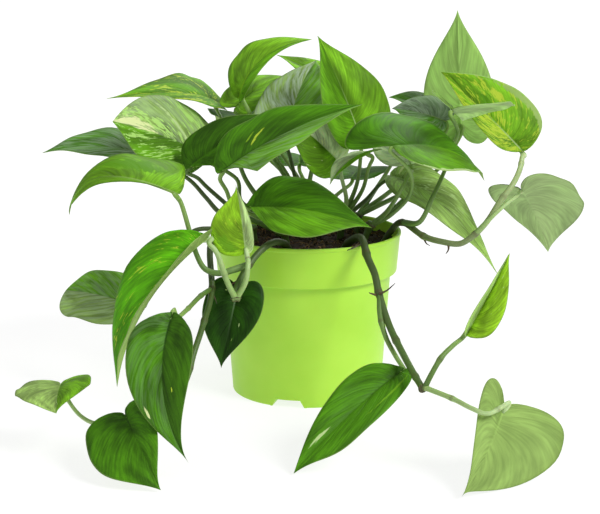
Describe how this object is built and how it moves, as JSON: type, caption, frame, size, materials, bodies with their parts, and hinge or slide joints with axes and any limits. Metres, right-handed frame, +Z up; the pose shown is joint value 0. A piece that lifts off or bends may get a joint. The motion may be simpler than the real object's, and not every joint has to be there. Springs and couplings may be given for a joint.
{
  "type": "potted trailing plant",
  "caption": "Trailing houseplant with heart-shaped leaves, a leafy crown and vines that hang over the rim of a tapered plastic nursery pot with a deep collar, filled with soil.",
  "frame": {"origin": "centre of the flat underside of the pot, on the surface it stands on", "axes": "+Z up along the pot's axis, the pictured side towards -Y, the picture's right towards +X"},
  "size_m": [0.4281, 0.4234, 0.298],
  "materials": {
    "pot": "satin lime-green moulded plastic",
    "soil": "moist dark brown fibrous potting compost",
    "stem": "smooth waxy fleshy stem",
    "leaf_dark": "glossy waxy dark green blade",
    "leaf_green": "glossy waxy green blade",
    "leaf_variegated": "satin green blade with yellow-green flecks",
    "leaf_pale": "matt pale green underside towards the front"
  },
  "bodies": {
    "root": {"pot": "pot", "soil": "soil", "left_vine": "stem", "trailing_vine": "stem", "left_stem": "stem", "left_crown": "stem", "front_crown": "stem", "middle_crown": "stem", "right_crown": "stem", "right_stem": "stem", "right_vine": "stem", "front_vine": "stem", "back_stem": "stem", "back_right_stem": "stem", "back_vine": "stem", "leaf_01": "leaf_dark", "leaf_02": "leaf_variegated", "leaf_03": "leaf_variegated", "leaf_04": "leaf_variegated", "leaf_05": "leaf_dark", "leaf_06": "leaf_dark", "leaf_07": "leaf_green", "leaf_08": "leaf_dark", "leaf_09": "leaf_green", "leaf_10": "leaf_dark", "leaf_11": "leaf_variegated", "leaf_12": "leaf_green", "leaf_13": "leaf_dark", "leaf_14": "leaf_dark", "leaf_15": "leaf_pale", "leaf_16": "leaf_pale", "leaf_17": "leaf_variegated", "leaf_18": "leaf_pale", "leaf_19": "leaf_variegated", "leaf_20": "leaf_variegated", "leaf_21": "leaf_green", "leaf_22": "leaf_dark", "leaf_23": "leaf_dark", "leaf_24": "leaf_green", "leaf_25": "leaf_pale", "leaf_26": "leaf_dark", "leaf_27": "leaf_variegated", "leaf_28": "leaf_pale", "leaf_29": "leaf_dark", "leaf_30": "leaf_variegated", "leaf_31": "leaf_variegated", "leaf_32": "leaf_green", "leaf_33": "leaf_dark", "leaf_34": "leaf_dark", "leaf_35": "leaf_dark", "leaf_36": "leaf_dark", "leaf_37": "leaf_dark", "leaf_38": "leaf_dark", "leaf_39": "leaf_dark", "leaf_40": "leaf_dark"}
  },
  "joints": []
}
